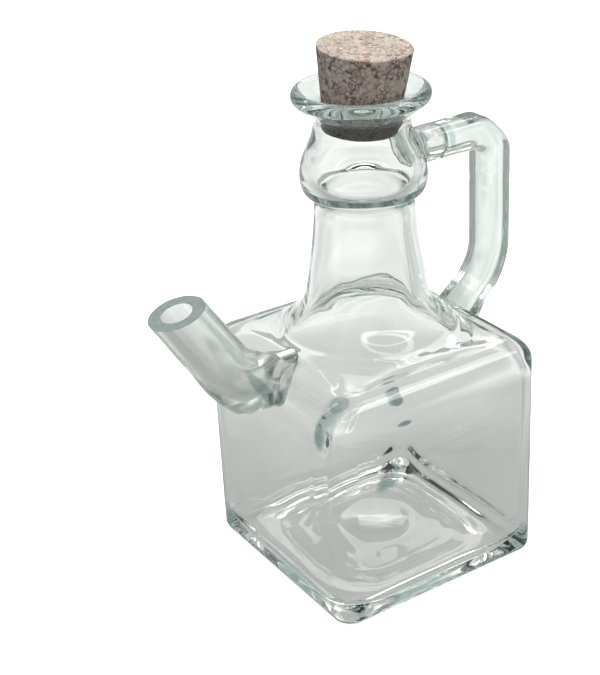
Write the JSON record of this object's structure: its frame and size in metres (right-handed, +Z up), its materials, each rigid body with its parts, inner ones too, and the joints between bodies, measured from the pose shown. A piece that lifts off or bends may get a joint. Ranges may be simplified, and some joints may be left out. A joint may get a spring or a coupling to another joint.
{
  "type": "glass oil bottle",
  "caption": "Square glass oil bottle with a domed shoulder, a collared neck with a flared lip, a bent pouring spout, a solid glass loop handle and a tapered cork.",
  "frame": {"origin": "centre of the flat base on the resting plane, on the axis of the neck", "axes": "+Z up along the neck, +X towards the handle, -X towards the spout, Y across the bottle"},
  "size_m": [0.1262, 0.075, 0.1666],
  "materials": {
    "body_glass": "clear recycled glass with a faint green tint, slightly wavy, polished",
    "spout_glass": "clear recycled glass with a faint green tint, tip ground flat and satin",
    "handle_glass": "solid clear glass bar with a faint green tint, fire polished",
    "cork": "agglomerated cork granules, matt, unvarnished"
  },
  "bodies": {
    "bottle": {"bottle_body": "body_glass", "spout": "spout_glass", "handle": "handle_glass"},
    "stopper": {"cork_stopper": "cork"}
  },
  "joints": [
    {"name": "stopper_lift", "type": "slide", "parent": "bottle", "child": "stopper", "axis": [0.0462, -0.08, 0.9957], "range_m": [0, 0.04]}
  ]
}
